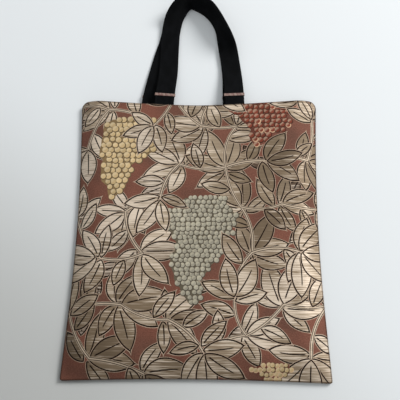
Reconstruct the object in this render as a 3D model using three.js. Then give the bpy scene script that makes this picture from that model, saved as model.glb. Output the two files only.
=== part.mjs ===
// A flat brocade handbag that lies on its back face, with its two strap handles laid out above the rim.
// Lengths are in millimetres. X runs across the bag, Y from its bottom edge towards its handles and Z up.
// The body has an outer cloth, an interlining and a lining on each side, with the straps sewn in between.

import * as THREE from "three";

// Outline of the bag
const BAG_WIDTH = 300;
const BAG_HEIGHT = 337; // at the top corners
const TOP_NARROWING = 0.6; // the half width lost from the bottom to the top
const WAIST = 6.2; // how far each side pulls in at half height
const RIM_SAG = 8.8; // how far the rim dips at its middle
const RIM_CURVE = 1.4; // the power that shapes the dip
const CORNER_RADIUS = 10; // top corners

// Cloth
const OUTER_CLOTH = 0.8;
const INTERLINING = 0.8;
const LINING = 0.5;
const SEAM_CLOTH = 1; // the layered seam allowance
const GAP = 0.3; // between layers that touch on the real bag

// Fullness of the front, which rises from the seams to a plateau
const MOUTH_OPENING = 4.6; // between the two linings
const EDGE_RUN = 30; // from a seam to the plateau
const PILLOW = 1.2; // extra fullness in the middle of the front
const PILLOW_TOP = 270; // above this the front is level, where the straps are sewn in

// Seams and hems
const SEAM_INSET = 1; // from the edge to the seam allowance
const SEAM_WIDTH = 8;
const SEAM_END = 12; // what a seam allowance keeps from a corner
const INTERLINING_INSET = 14;
const LINING_INSET = 20;
const HEM_DEPTH = 20;
const HEM_INSET = 1.5; // from the rim to the turned hem and the lining
const HEM_BREAK = 1; // between a hem and the interlining below it

// Handles
const STRAP_WIDTH = 24.5;
const STRAP_THICKNESS = 1.4;
const STRAP_GAP = 0.6; // between the two handles where one lies on the other
const STRAP_LIFT = 0.3; // under the lower handle
const STRAP_TAIL = 45; // the length that stays with the bag, most of it sewn in below the rim
const HANDLE_SPREAD = 100; // the unit of the routes across the bag
const HANDLE_RISE = 150; // the unit of the routes above the rim
const DROP_START = 4; // the strap leaves the rim level and comes down between these heights
const DROP_END = 62;
const STRAP_STEPS = 90;
const TANGENT_STEP = 0.125; // the share of a step either side that gives the strap's direction

// Contrast bands near the feet of the handles
const BAND_HEIGHT = 12; // above the rim
const BAND_LENGTH = 3.6; // along the strap
const BAND_CLOTH = 0.5;

// Where a handle folds at the rim
const HINGE_RISE = 0.2; // from the end of the strap to the fold line
const RIM_CLEARANCE = 0.7; // from the highest point of the rim beside a strap to the strap
const FOLD_CLEARANCE = 0.4; // between a strap that is folded over and the cloth under it

// The routes of the handles from left foot to right foot. Each row holds a share of HANDLE_SPREAD across,
// a share of HANDLE_RISE above the fold and the turn of the strap about its own length, in degrees.
const FRONT_ROUTE_SHARES = [
  [-0.43, 0, 0],
  [-0.415, 0.13, 0],
  [-0.395, 0.3, 0],
  [-0.39, 0.47, 0],
  [-0.385, 0.6, 0],
  [-0.378, 0.7, 0],
  [-0.36, 0.79, 4],
  [-0.32, 0.875, 22],
  [-0.213, 0.97, 55],
  [-0.105, 1.012, 54],
  [0.02, 0.975, 56],
  [0.135, 0.91, 63],
  [0.222, 0.825, 67],
  [0.288, 0.73, 62],
  [0.34, 0.63, 42],
  [0.38, 0.535, 17],
  [0.41, 0.42, 1],
  [0.435, 0.28, 0],
  [0.452, 0.13, 0],
  [0.46, 0, 0],
];
const BACK_ROUTE_SHARES = [
  [-0.61, 0, 0],
  [-0.58, 0.13, 0],
  [-0.53, 0.3, 0],
  [-0.47, 0.47, 0],
  [-0.415, 0.6, 0],
  [-0.383, 0.7, 0],
  [-0.36, 0.79, 4],
  [-0.32, 0.875, 22],
  [-0.213, 0.97, 55],
  [-0.105, 1.012, 54],
  [0.02, 0.975, 56],
  [0.135, 0.91, 63],
  [0.222, 0.825, 67],
  [0.288, 0.73, 62],
  [0.34, 0.63, 42],
  [0.38, 0.535, 17],
  [0.41, 0.42, 1],
  [0.43, 0.28, 0],
  [0.433, 0.13, 0],
  [0.435, 0, 0],
];

// Heights of the layers above the floor, worked out from the cloths
const BACK_INNER = OUTER_CLOTH + GAP; // underside of the back interlining, hem and seams
const BACK_TAIL = BACK_INNER + INTERLINING + GAP; // underside of the back strap's sewn-in length
const BACK_LINING = BACK_TAIL + STRAP_THICKNESS + GAP;
const FRONT_LINING = BACK_LINING + LINING + MOUTH_OPENING;
const FRONT_TAIL = FRONT_LINING + LINING + GAP;
const FRONT_INNER = FRONT_TAIL + STRAP_THICKNESS + GAP;
const FRONT_OUTER = FRONT_INNER + INTERLINING + GAP; // underside of the front cloth on the plateau
const FRONT_EDGE = BACK_INNER + SEAM_CLOTH + GAP; // underside of the front cloth at its seams
const FRONT_RISE = FRONT_OUTER - FRONT_EDGE;

const brocade = new THREE.MeshStandardMaterial({ color: 0x9c8168, roughness: 0.6, metalness: 0.1 });
const interlining = new THREE.MeshStandardMaterial({ color: 0xe6e2d8, roughness: 0.95, metalness: 0 });
const lining = new THREE.MeshStandardMaterial({ color: 0x5a3a30, roughness: 0.7, metalness: 0 });
const strapCloth = new THREE.MeshStandardMaterial({ color: 0x131315, roughness: 0.75, metalness: 0 });
const bandCloth = new THREE.MeshStandardMaterial({ color: 0xb08a7c, roughness: 0.5, metalness: 0 });

// The outline and the fullness of the front

function halfWidth(y) {
  const share = y / BAG_HEIGHT;
  return BAG_WIDTH / 2 - TOP_NARROWING * share - WAIST * Math.sin(Math.PI * share);
}

function rimHeight(x) {
  const share = Math.abs(x) / (BAG_WIDTH / 2);
  const past = Math.max(0, Math.abs(x) - (BAG_WIDTH / 2 - CORNER_RADIUS));
  const corner = CORNER_RADIUS - Math.sqrt(CORNER_RADIUS ** 2 - past ** 2);
  return BAG_HEIGHT - RIM_SAG * (1 - share ** RIM_CURVE) - corner;
}

// Underside of the front cloth above the point x, y.
function frontUnderside(x, y) {
  const ease = (distance) => Math.sin((Math.PI / 2) * THREE.MathUtils.clamp(distance / EDGE_RUN, 0, 1));
  const fullness = ease(halfWidth(y) - Math.abs(x)) * ease(y);
  const along = Math.sin(Math.PI * Math.min(1, y / PILLOW_TOP));
  const across = Math.cos((Math.PI / 2) * (x / halfWidth(y)));
  return FRONT_EDGE + (FRONT_RISE + PILLOW * along * across) * fullness;
}

// Grid lines that all layers of the front share, so that their facets lie parallel. Each is a distance from
// the edge, and the inner layers start at those of their insets.
const OUTER_EDGE_SHARES = [0, 0.07, 0.17, 0.3];
const INNER_EDGE_SHARES = [0.88, 1.1];
const EDGE_LINES = [
  ...OUTER_EDGE_SHARES.map((share) => share * EDGE_RUN),
  INTERLINING_INSET,
  LINING_INSET,
  ...INNER_EDGE_SHARES.map((share) => share * EDGE_RUN),
];
const INTERLINING_LINE = 4; // the grid line at the interlining's inset
const LINING_LINE = 5;
const MIDDLE_COLUMNS = 12;
const MIDDLE_ROWS = 10;
const HEM_ROWS = 4; // from the foot of the hem to the rim

function gridColumns() {
  const inner = BAG_WIDTH / 2 - EDGE_LINES.at(-1);
  const left = EDGE_LINES.map((line) => line - BAG_WIDTH / 2);
  const middle = [];
  for (let k = 1; k < MIDDLE_COLUMNS; k += 1) {
    middle.push(inner * ((2 * k) / MIDDLE_COLUMNS - 1));
  }
  const right = EDGE_LINES.map((line) => BAG_WIDTH / 2 - line).reverse();
  return [...left, ...middle, ...right];
}

// A row is a height from the bottom and a share of the way from there to just under the hem.
function gridRows() {
  const rows = EDGE_LINES.map((line) => (rim) => line);
  const start = EDGE_LINES.at(-1);
  for (let k = 1; k < MIDDLE_ROWS; k += 1) {
    rows.push((rim) => start + (k / MIDDLE_ROWS) * (rim - HEM_DEPTH - HEM_BREAK - start));
  }
  rows.push((rim) => rim - HEM_DEPTH - HEM_BREAK);
  rows.push((rim) => rim - HEM_DEPTH);
  rows.push((rim) => rim - HEM_DEPTH / 2);
  rows.push((rim) => rim - HEM_INSET);
  rows.push((rim) => rim);
  return rows;
}

// A column keeps its distance from the side, or its share of the width between the last edge lines.
function gridPoint(nominal, row) {
  const y = row(rimHeight(nominal));
  const half = halfWidth(y);
  const inner = BAG_WIDTH / 2 - EDGE_LINES.at(-1);
  if (Math.abs(nominal) > inner) {
    return [nominal + Math.sign(nominal) * (half - BAG_WIDTH / 2), y];
  }
  return [(nominal / inner) * (half - EDGE_LINES.at(-1)), y];
}

// A sheet of cloth of even height over the shared grid, from one grid line to another, below the front cloth.
function frontSheet(drop, thickness, line, rowRange) {
  const columns = gridColumns().slice(line, line ? -line : undefined);
  const rows = gridRows().slice(...rowRange);
  const positions = [];
  for (const row of rows) {
    for (const column of columns) {
      const [x, y] = gridPoint(column, row);
      const low = frontUnderside(x, y) - drop;
      positions.push(x, y, low, x, y, low + thickness);
    }
  }
  const wide = columns.length;
  const low = (r, c) => 2 * (r * wide + c);
  const high = (r, c) => low(r, c) + 1;
  const indices = [];
  const quad = (a, b, c, d) => indices.push(a, b, c, a, c, d);
  for (let r = 0; r + 1 < rows.length; r += 1) {
    for (let c = 0; c + 1 < wide; c += 1) {
      quad(high(r, c), high(r, c + 1), high(r + 1, c + 1), high(r + 1, c));
      quad(low(r, c), low(r + 1, c), low(r + 1, c + 1), low(r, c + 1));
    }
    quad(low(r, 0), high(r, 0), high(r + 1, 0), low(r + 1, 0));
    quad(low(r, wide - 1), low(r + 1, wide - 1), high(r + 1, wide - 1), high(r, wide - 1));
  }
  const top = rows.length - 1;
  for (let c = 0; c + 1 < wide; c += 1) {
    quad(low(0, c), low(0, c + 1), high(0, c + 1), high(0, c));
    quad(low(top, c), high(top, c), high(top, c + 1), low(top, c + 1));
  }
  const geometry = new THREE.BufferGeometry();
  geometry.setAttribute("position", new THREE.Float32BufferAttribute(positions, 3));
  geometry.setIndex(indices);
  geometry.computeVertexNormals();
  return geometry;
}

// Flat layers, cut from the bag's outline

const OUTLINE_STEPS = 24;

// The bag's outline drawn in from its sides, between two heights given for each place across.
function outline(sideInset, lowAt, highAt) {
  const half = BAG_WIDTH / 2;
  const points = [];
  const place = (nominal, y) => {
    const scale = (halfWidth(y) - sideInset) / half;
    points.push(new THREE.Vector2(nominal * scale, y));
  };
  for (let k = 0; k <= OUTLINE_STEPS; k += 1) {
    const nominal = -half * Math.cos((Math.PI * k) / OUTLINE_STEPS);
    place(nominal, lowAt(nominal));
  }
  for (let k = 1; k < OUTLINE_STEPS; k += 1) {
    place(half, THREE.MathUtils.lerp(lowAt(half), highAt(half), k / OUTLINE_STEPS));
  }
  for (let k = 0; k <= OUTLINE_STEPS; k += 1) {
    const nominal = half * Math.cos((Math.PI * k) / OUTLINE_STEPS);
    place(nominal, highAt(nominal));
  }
  for (let k = OUTLINE_STEPS - 1; k > 0; k -= 1) {
    place(-half, THREE.MathUtils.lerp(lowAt(-half), highAt(-half), k / OUTLINE_STEPS));
  }
  return new THREE.Shape(points);
}

function flatSheet(shape, thickness) {
  return new THREE.ExtrudeGeometry(shape, { depth: thickness, bevelEnabled: false });
}

// A seam allowance beside one edge: side is -1 for the left and 1 for the right.
function sideSeamShape(side) {
  const bottom = SEAM_INSET;
  const top = rimHeight(BAG_WIDTH / 2) - SEAM_END;
  const outer = [];
  const inner = [];
  for (let k = 0; k <= OUTLINE_STEPS; k += 1) {
    const y = THREE.MathUtils.lerp(bottom, top, k / OUTLINE_STEPS);
    outer.push(new THREE.Vector2(side * (halfWidth(y) - SEAM_INSET), y));
    inner.unshift(new THREE.Vector2(side * (halfWidth(y) - SEAM_INSET - SEAM_WIDTH), y));
  }
  return new THREE.Shape([...outer, ...inner]);
}

function bottomSeamShape() {
  const low = SEAM_INSET;
  const high = SEAM_INSET + SEAM_WIDTH;
  const reach = halfWidth(high) - SEAM_INSET - SEAM_WIDTH - GAP;
  return new THREE.Shape([
    new THREE.Vector2(-reach, low),
    new THREE.Vector2(reach, low),
    new THREE.Vector2(reach, high),
    new THREE.Vector2(-reach, high),
  ]);
}

// The handles

// The highest point of the rim beside any strap sets where all straps come out of it.
const OUTERMOST_FOOT = -BACK_ROUTE_SHARES[0][0] * HANDLE_SPREAD + STRAP_WIDTH / 2;
const STRAP_START = rimHeight(OUTERMOST_FOOT) + RIM_CLEARANCE;
const PAIR_HALF = STRAP_THICKNESS + STRAP_GAP / 2; // from the middle of the laid pair to a strap's outer face

// A handle's place at t from 0 to 1: its centre and the directions of its length, width and upper face.
// level is 1 for the handle that lies on top and -1 for the one below it.
function handleRoute(rowsOfShares, level, footHeight) {
  const across = (row) => row[0] * HANDLE_SPREAD;
  const up = (row) => row[1] * HANDLE_RISE;
  const plan = new THREE.SplineCurve(rowsOfShares.map((row) => new THREE.Vector2(across(row), up(row))));
  const turns = new THREE.SplineCurve(rowsOfShares.map((row, k) => new THREE.Vector2(k, row[2])));
  const offset = (level * (STRAP_THICKNESS + STRAP_GAP)) / 2;
  const footLift = footHeight - (STRAP_LIFT + PAIR_HALF + offset);
  const zAxis = new THREE.Vector3(0, 0, 1);

  const turnAt = (t) => THREE.MathUtils.degToRad(Math.max(0, turns.getPoint(t).y));
  const middleAt = (t) => {
    const spot = plan.getPoint(t);
    const turn = turnAt(t);
    const rest = STRAP_LIFT + PAIR_HALF * Math.cos(turn) + (STRAP_WIDTH / 2) * Math.sin(turn);
    const drop = THREE.MathUtils.smoothstep(spot.y, DROP_START, DROP_END);
    return new THREE.Vector3(spot.x, STRAP_START + spot.y, rest + footLift * (1 - drop));
  };
  return (t) => {
    const step = TANGENT_STEP / STRAP_STEPS;
    const after = middleAt(Math.min(1, t + step));
    const before = middleAt(Math.max(0, t - step));
    const along = t <= 0 || t >= 1 ? new THREE.Vector3(0, t <= 0 ? 1 : -1, 0) : after.sub(before).normalize();
    const flat = zAxis.clone().addScaledVector(along, -zAxis.dot(along)).normalize();
    const face = flat.applyAxisAngle(along, turnAt(t));
    const width = new THREE.Vector3().crossVectors(along, face);
    return { centre: middleAt(t).addScaledVector(face, offset), along, width, face };
  };
}

const frontRoute = handleRoute(FRONT_ROUTE_SHARES, 1, FRONT_TAIL + STRAP_THICKNESS / 2);
const backRoute = handleRoute(BACK_ROUTE_SHARES, -1, BACK_TAIL + STRAP_THICKNESS / 2);

// A flat strap with softened edges, swept along a handle's route.
const EDGE_SHARE = 0.3; // how much of the thickness the softened edge takes
const STRAP_STRIPS = 4; // how many flat strips the turning strap is made of across its width

function strapSection() {
  const half = STRAP_WIDTH / 2;
  const deep = STRAP_THICKNESS / 2;
  const soft = EDGE_SHARE * STRAP_THICKNESS;
  const underside = [[-half, -deep + soft]];
  for (let k = 0; k <= STRAP_STRIPS; k += 1) {
    underside.push([(half - soft) * ((2 * k) / STRAP_STRIPS - 1), -deep]);
  }
  underside.push([half, -deep + soft]);
  return [...underside, ...underside.map(([w, f]) => [-w, -f])];
}

function strapGeometry(route) {
  const section = strapSection();
  const positions = [];
  for (let k = 0; k <= STRAP_STEPS; k += 1) {
    const { centre, width, face } = route(k / STRAP_STEPS);
    for (const [w, f] of section) {
      const corner = centre.clone().addScaledVector(width, w).addScaledVector(face, f);
      positions.push(corner.x, corner.y, corner.z);
    }
  }
  const sides = section.length;
  const indices = [];
  for (let k = 0; k < STRAP_STEPS; k += 1) {
    for (let s = 0; s < sides; s += 1) {
      const a = k * sides + s;
      const b = k * sides + ((s + 1) % sides);
      indices.push(a, b + sides, b, a, a + sides, b + sides);
    }
  }
  const end = STRAP_STEPS * sides;
  for (let s = 1; s + 1 < sides; s += 1) {
    indices.push(0, s, s + 1, end, end + s + 1, end + s);
  }
  const geometry = new THREE.BufferGeometry();
  geometry.setAttribute("position", new THREE.Float32BufferAttribute(positions, 3));
  geometry.setIndex(indices);
  geometry.computeVertexNormals();
  return geometry;
}

// The place along a route that is a given height above the strap's end, found by halving a leg of it.
const LEG_SHARE = 0.25;
const HALVINGS = 30;

function placeAtHeight(route, height, leg) {
  let low = leg === "left" ? 0 : 1;
  let high = leg === "left" ? LEG_SHARE : 1 - LEG_SHARE;
  for (let k = 0; k < HALVINGS; k += 1) {
    const middle = (low + high) / 2;
    if (route(middle).centre.y - STRAP_START < height) low = middle;
    else high = middle;
  }
  return route(low);
}

// A band that covers the outward face of the strap and turns round both of its edges.
function bandGeometry(route, leg, outward) {
  const { centre, along, width, face } = placeAtHeight(route, BAND_HEIGHT, leg);
  const inside = STRAP_WIDTH / 2 + GAP;
  const outside = inside + BAND_CLOTH;
  const under = STRAP_THICKNESS / 2 + GAP;
  const over = under + BAND_CLOTH;
  const lip = -STRAP_THICKNESS / 2;
  const shape = new THREE.Shape([
    new THREE.Vector2(-outside, lip),
    new THREE.Vector2(-inside, lip),
    new THREE.Vector2(-inside, under),
    new THREE.Vector2(inside, under),
    new THREE.Vector2(inside, lip),
    new THREE.Vector2(outside, lip),
    new THREE.Vector2(outside, over),
    new THREE.Vector2(-outside, over),
  ]);
  const geometry = new THREE.ExtrudeGeometry(shape, { depth: BAND_LENGTH, bevelEnabled: false });
  geometry.translate(0, 0, -BAND_LENGTH / 2);
  const out = face.clone().multiplyScalar(outward);
  const side = new THREE.Vector3().crossVectors(out, along);
  const place = new THREE.Matrix4().makeBasis(side, out, along).setPosition(centre);
  geometry.applyMatrix4(place);
  return geometry;
}

// The length of strap that is sewn in, up to where the handle folds.
function addTail(group, name, x, underside) {
  const top = STRAP_START - GAP;
  const geometry = new THREE.BoxGeometry(STRAP_WIDTH, STRAP_TAIL, STRAP_THICKNESS);
  const tail = new THREE.Mesh(geometry, strapCloth.clone());
  tail.name = name;
  tail.position.set(x, top - STRAP_TAIL / 2, underside + STRAP_THICKNESS / 2);
  group.add(tail);
}

function addPiece(group, name, geometry, material, height = 0) {
  const piece = new THREE.Mesh(geometry, material.clone());
  piece.name = name;
  piece.position.z = height;
  group.add(piece);
  return piece;
}

// The assembly

function buildBody() {
  const body = new THREE.Group();
  const bottom = () => 0;
  const rim = (x) => rimHeight(x);
  const hemTop = (x) => rimHeight(x) - HEM_INSET;
  const hemBottom = (x) => rimHeight(x) - HEM_DEPTH;
  const interliningTop = (x) => hemBottom(x) - HEM_BREAK;
  const rowCount = gridRows().length;
  const hemRow = rowCount - HEM_ROWS;
  const innerDrop = GAP + INTERLINING;
  const liningDrop = innerDrop + GAP + STRAP_THICKNESS + GAP + LINING;

  addPiece(body, "outer_back_panel", flatSheet(outline(0, bottom, rim), OUTER_CLOTH), brocade);
  addPiece(
    body,
    "back_interlining",
    flatSheet(outline(INTERLINING_INSET, () => INTERLINING_INSET, interliningTop), INTERLINING),
    interlining,
    BACK_INNER,
  );
  addPiece(
    body,
    "back_rim_hem",
    flatSheet(outline(INTERLINING_INSET, hemBottom, hemTop), INTERLINING),
    brocade,
    BACK_INNER,
  );
  addPiece(
    body,
    "back_lining",
    flatSheet(outline(LINING_INSET, () => LINING_INSET, hemTop), LINING),
    lining,
    BACK_LINING,
  );

  addPiece(body, "outer_front_panel", frontSheet(0, OUTER_CLOTH, 0, [0]), brocade);
  addPiece(
    body,
    "front_interlining",
    frontSheet(innerDrop, INTERLINING, INTERLINING_LINE, [INTERLINING_LINE, hemRow]),
    interlining,
  );
  addPiece(
    body,
    "front_rim_hem",
    frontSheet(innerDrop, INTERLINING, INTERLINING_LINE, [hemRow, rowCount - 1]),
    brocade,
  );
  addPiece(
    body,
    "front_lining",
    frontSheet(liningDrop, LINING, LINING_LINE, [LINING_LINE, rowCount - 1]),
    lining,
  );

  addPiece(body, "left_side_seam", flatSheet(sideSeamShape(-1), SEAM_CLOTH), brocade, BACK_INNER);
  addPiece(body, "right_side_seam", flatSheet(sideSeamShape(1), SEAM_CLOTH), brocade, BACK_INNER);
  addPiece(body, "bottom_seam", flatSheet(bottomSeamShape(), SEAM_CLOTH), brocade, BACK_INNER);

  const feet = (rows) => [rows[0][0] * HANDLE_SPREAD, rows.at(-1)[0] * HANDLE_SPREAD];
  const [frontLeft, frontRight] = feet(FRONT_ROUTE_SHARES);
  const [backLeft, backRight] = feet(BACK_ROUTE_SHARES);
  addTail(body, "front_handle_left_end", frontLeft, FRONT_TAIL);
  addTail(body, "front_handle_right_end", frontRight, FRONT_TAIL);
  addTail(body, "back_handle_left_end", backLeft, BACK_TAIL);
  addTail(body, "back_handle_right_end", backRight, BACK_TAIL);
  return body;
}

// A handle swings about the fold line at the rim, which lies outside the strap, so that it clears the rim.
function buildHandle(name, route, outward) {
  const handle = new THREE.Group();
  addPiece(handle, `${name}_strap`, strapGeometry(route), strapCloth);
  addPiece(handle, `${name}_left_band`, bandGeometry(route, "left", outward), bandCloth);
  addPiece(handle, `${name}_right_band`, bandGeometry(route, "right", outward), bandCloth);
  return handle;
}

const bag = new THREE.Group();
bag.add(buildBody());
bag.add(buildHandle("front_handle", frontRoute, 1));
bag.add(buildHandle("back_handle", backRoute, -1));

// The origin is the middle of the space that the bag takes up, on the floor.
const extent = new THREE.Box3().setFromObject(bag);
bag.position.y = -(extent.min.y + extent.max.y) / 2;
bag.position.x = -(extent.min.x + extent.max.x) / 2;

// A handle folds about a line halfway between its middle at rest and its middle when it lies on the cloth.
const frontFold = (FRONT_TAIL + FRONT_OUTER + OUTER_CLOTH + FOLD_CLEARANCE + STRAP_THICKNESS) / 2;
const backFold = (BACK_TAIL - FOLD_CLEARANCE) / 2;
console.log("Fold lines at y", STRAP_START + HINGE_RISE + bag.position.y, "and z", frontFold, backFold);

const handbag = new THREE.Group();
handbag.add(bag);

export default handbag;
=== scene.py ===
"""The look of a flat brocade bag that lies on its back, with two black strap handles above its rim.

Sizes in the tables are millimetres, and MM turns them into metres. The bag's own plan runs from x 0 at its
middle and y 0 at its bottom edge, and FOOT moves it to where the frame has it.
"""
import math
import random
from collections import namedtuple
from functools import partial

import bmesh
import bpy
import numpy as np
from mathutils import Matrix, Vector
from mathutils.geometry import delaunay_2d_cdt


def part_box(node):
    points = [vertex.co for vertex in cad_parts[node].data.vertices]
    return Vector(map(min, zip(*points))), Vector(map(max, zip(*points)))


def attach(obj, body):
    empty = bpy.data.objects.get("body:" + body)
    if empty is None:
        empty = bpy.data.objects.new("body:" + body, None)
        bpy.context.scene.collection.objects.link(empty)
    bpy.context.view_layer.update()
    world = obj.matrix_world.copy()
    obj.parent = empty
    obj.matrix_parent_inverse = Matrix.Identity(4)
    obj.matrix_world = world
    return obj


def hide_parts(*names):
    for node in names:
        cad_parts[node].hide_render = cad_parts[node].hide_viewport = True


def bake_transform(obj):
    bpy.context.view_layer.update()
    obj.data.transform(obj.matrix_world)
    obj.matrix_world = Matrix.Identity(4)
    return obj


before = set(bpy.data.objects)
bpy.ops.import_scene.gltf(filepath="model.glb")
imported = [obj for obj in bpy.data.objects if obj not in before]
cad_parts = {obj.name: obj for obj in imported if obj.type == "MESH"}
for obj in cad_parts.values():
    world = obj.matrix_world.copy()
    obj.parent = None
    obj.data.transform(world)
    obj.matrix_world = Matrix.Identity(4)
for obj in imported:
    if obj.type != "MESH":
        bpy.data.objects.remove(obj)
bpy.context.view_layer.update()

MM = 0.001
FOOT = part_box("outer_back_panel")[0].y / MM

# The bag's outline, as its solids have it
WIDTH = 300.0
HALF = WIDTH / 2
HEIGHT = 337.0
TOP_NARROWING = 0.6
WAIST = 6.2
RIM_SAG = 8.8
RIM_CURVE = 1.4
TOP_CORNER = 10.0
BOTTOM_CORNER = 2.6

# How far the sewn bottom edge draws up at its middle, which the solids leave straight
BOTTOM_BOW = 3.0

# The front face above the floor
FRONT_FACE = 13.4
EDGE_FACE = 3.3
EDGE_RUN = 30.0
CROWN = 1.2
CROWN_TOP = 270.0

# The front's puckers: the grid that they are simulated on, and how much of its lift the cloth takes up
PUCKER_ROWS, PUCKER_COLUMNS = 67, 61
PUCKER_JITTER = 0.1
PUCKER_EASE = 0.01
PUCKER_FRAMES = 20
PUCKER_SHARE = 0.35
PUCKER_CAP = 0.8
SEAM_RUN = 12.0
RIM_RUN = 18.0

# How the brocade turns over at the seams and at the rim, which begins a little way in from the corners
CLOTH = 0.22
SEAM_TURN = 1.2
SEAM_TUCK = 0.3
SEAM_TAIL = 1.0
RIM_TURN = 0.95
RIM_INSET = 6.0
RIM_BLEND = 14.0
HEM = 14.0

# The brocade's faces: the points that draw its edge, steps along it, and the grid between the motifs
CORNER_POINTS, SIDE_POINTS, RIM_POINTS = 8, 60, 120
EDGE_STEP = 2.4
GRID_STEP = 4.0
ROW_STEP = GRID_STEP * 0.87
GRID_INSET = 5.5

# The linings: their cloth, insets and grid, and their heights at the seams and in the middle
LINING_CLOTH = 0.35
LINING_INSET = 3.0
LINING_DROP = 1.2
LINING_RUN = 18.0
LINING_START = 0.5
LINING_COLUMNS = 121
LINING_ROWS = ((0, 0.955, 60), (0.96, 1, 16))
LINING_LEVELS = {"front": (1.95, 9.0), "back": (1.75, 4.4)}
BACK_HEM_TOP = 2.3
FRONT_HEM_DEPTH = 2.4
HEM_REACH = 7.0
STRAP_MARGIN = 1.0
STRAP_BLEND = 5.0

# The interlinings: their cloth, insets and grid, and their heights
PADDING_CLOTH = 0.8
PADDING_INSET = 14.0
PADDING_DROP = 21.0
PADDING_SHARE = 0.9
PADDING_LEVEL = 1.9
PADDING_DEPTH = 1.1
PADDING_STEPS = 81

# The handles, as their solids have them. Their routes are in shares of SPREAD and RISE. Between the heights
# of DROP a strap comes down from its foot. FOLD gives two heights about the rim, between which a strap would
# bend, though nothing here bends it
STRAP_WIDTH = 24.5
STRAP_THICK = 1.4
STRAP_GAP = 0.6
STRAP_LIFT = 0.3
STRAP_CLEAR = 0.7
STRAP_STEPS = 300
TAIL = 43.0
TAIL_STEP = 3.3
TAIL_FINE = 6
FOLD = (-3.0, 4.0)
SPREAD = 100.0
RISE = 150.0
DROP = (4.0, 62.0)
FRONT_FOOT_HEIGHT = 10.5
BACK_FOOT_HEIGHT = 2.9
BAND_HEIGHT = 12.0
BAND_LENGTH = 3.6
BAND_CLOTH = 0.5
BAND_GAP = 0.3
BAND_ROUND = 0.16

# How rough the sheen of all the cloths is
SHEEN_ROUGH = 0.5


def paint(red, green, blue):
    """A colour read off as 0 to 255, in the linear values that shaders take."""
    shares = [value / 255 for value in (red, green, blue)]
    return tuple(s / 12.92 if s <= 0.04045 else ((s + 0.055) / 1.055) ** 2.4 for s in shares)


def smooth(share):
    """0 below 0 and 1 above 1, with level ends."""
    share = np.clip(share, 0, 1)
    return share**2 * (3 - 2 * share)


def placed(name, data):
    """A new object in the scene."""
    made = bpy.data.objects.new(name, data)
    bpy.context.scene.collection.objects.link(made)
    return made


# Shader sums


def joining(operation, backwards=False):
    """A method that joins a wire and another value in one math node."""

    def method(self, other):
        return self.finish.sum(operation, *((other, self) if backwards else (self, other)))

    return method


class Wire:
    """A socket in a finish that can be used in Python sums."""

    def __init__(self, finish, socket):
        self.finish = finish
        self.socket = socket

    __add__ = __radd__ = joining("ADD")
    __mul__ = joining("MULTIPLY")
    __sub__, __rsub__ = joining("SUBTRACT"), joining("SUBTRACT", backwards=True)
    __truediv__, __rtruediv__ = joining("DIVIDE"), joining("DIVIDE", backwards=True)
    __pow__ = joining("POWER")
    most = joining("MAXIMUM")

    def __abs__(self):
        return self.finish.sum("ABSOLUTE", self)

    def held(self, low=0.0, high=1.0):
        return self.finish.node("ShaderNodeClamp", {0: self, 1: low, 2: high})

    def rise(self, low, high):
        """0 below low and 1 above high."""
        inputs = {0: self, 1: low, 2: high}
        return self.finish.node("ShaderNodeMapRange", inputs, interpolation_type="SMOOTHSTEP")

    def over(self, low, high, soft):
        """1 between low and high and 0 outside, with soft edges."""
        return self.rise(low - soft, low + soft) * (1 - self.rise(high - soft, high + soft))


class Finish:
    """A material made of nodes."""

    def __init__(self, name):
        self.material = bpy.data.materials.new(name)
        self.material.use_nodes = True
        self.tree = self.material.node_tree
        self.shader = self.tree.nodes["Principled BSDF"]

    def join(self, value, socket):
        if isinstance(value, Wire):
            self.tree.links.new(value.socket, socket)
        elif socket.type == "RGBA" and len(value) == 3:
            socket.default_value = (*value, 1)
        else:
            socket.default_value = value

    def node(self, kind, inputs=None, out=0, **settings):
        made = self.tree.nodes.new(kind)
        for name, value in settings.items():
            setattr(made, name, value)
        for place, value in (inputs or {}).items():
            self.join(value, made.inputs[place])
        return Wire(self, made.outputs[out])

    def sum(self, operation, *values):
        return self.node("ShaderNodeMath", dict(enumerate(values)), operation=operation)

    def mix(self, share, first, second, blend="MIX"):
        inputs = {0: share, 6: first, 7: second}
        return self.node("ShaderNodeMix", inputs, out=2, data_type="RGBA", blend_type=blend)

    def tinted(self, colour, value):
        """A colour times a grey value."""
        grey = self.node("ShaderNodeCombineColor", {0: value, 1: value, 2: value})
        return self.mix(1.0, colour, grey, "MULTIPLY")

    def parts(self, vector):
        return [self.node("ShaderNodeSeparateXYZ", {0: vector}, out=k) for k in range(3)]

    def attribute(self, name, out="Vector"):
        return self.node("ShaderNodeAttribute", out=out, attribute_name=name)

    def on_cloth(self):
        """The place on the flat cloth, in metres: two numbers."""
        return self.parts(self.node("ShaderNodeUVMap", uv_map="cloth"))[:2]

    def noise(self, place, scale, detail, rough=0.5):
        """Noise over two or three numbers."""
        vector = self.node("ShaderNodeCombineXYZ", dict(enumerate(place)))
        inputs = {"Vector": vector, "Scale": scale, "Detail": detail, "Roughness": rough}
        return self.node("ShaderNodeTexNoise", inputs)

    def ridges(self, place, pitch, shift=0.0):
        """Round ridges from 0 to 1, at a pitch in millimetres."""
        turns = place * (1 / (pitch * MM)) + shift
        return self.sum("SINE", turns * (2 * math.pi)) * 0.5 + 0.5

    def dress(self, colour, rough, height=None, depth=0.0, metal=0.0, sheen=0.0, specular=0.5):
        """The finished material, with bumps that are depth millimetres high."""
        for name, value in (
            ("Base Color", colour), ("Roughness", rough), ("Metallic", metal),
            ("Sheen Weight", sheen), ("Sheen Roughness", SHEEN_ROUGH), ("Specular IOR Level", specular),
        ):
            self.join(value, self.shader.inputs[name])
        if height is not None:
            inputs = {"Height": height, "Distance": depth * MM, "Strength": 1.0}
            self.join(self.node("ShaderNodeBump", inputs), self.shader.inputs["Normal"])
        return self.material


# Finishes

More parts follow.
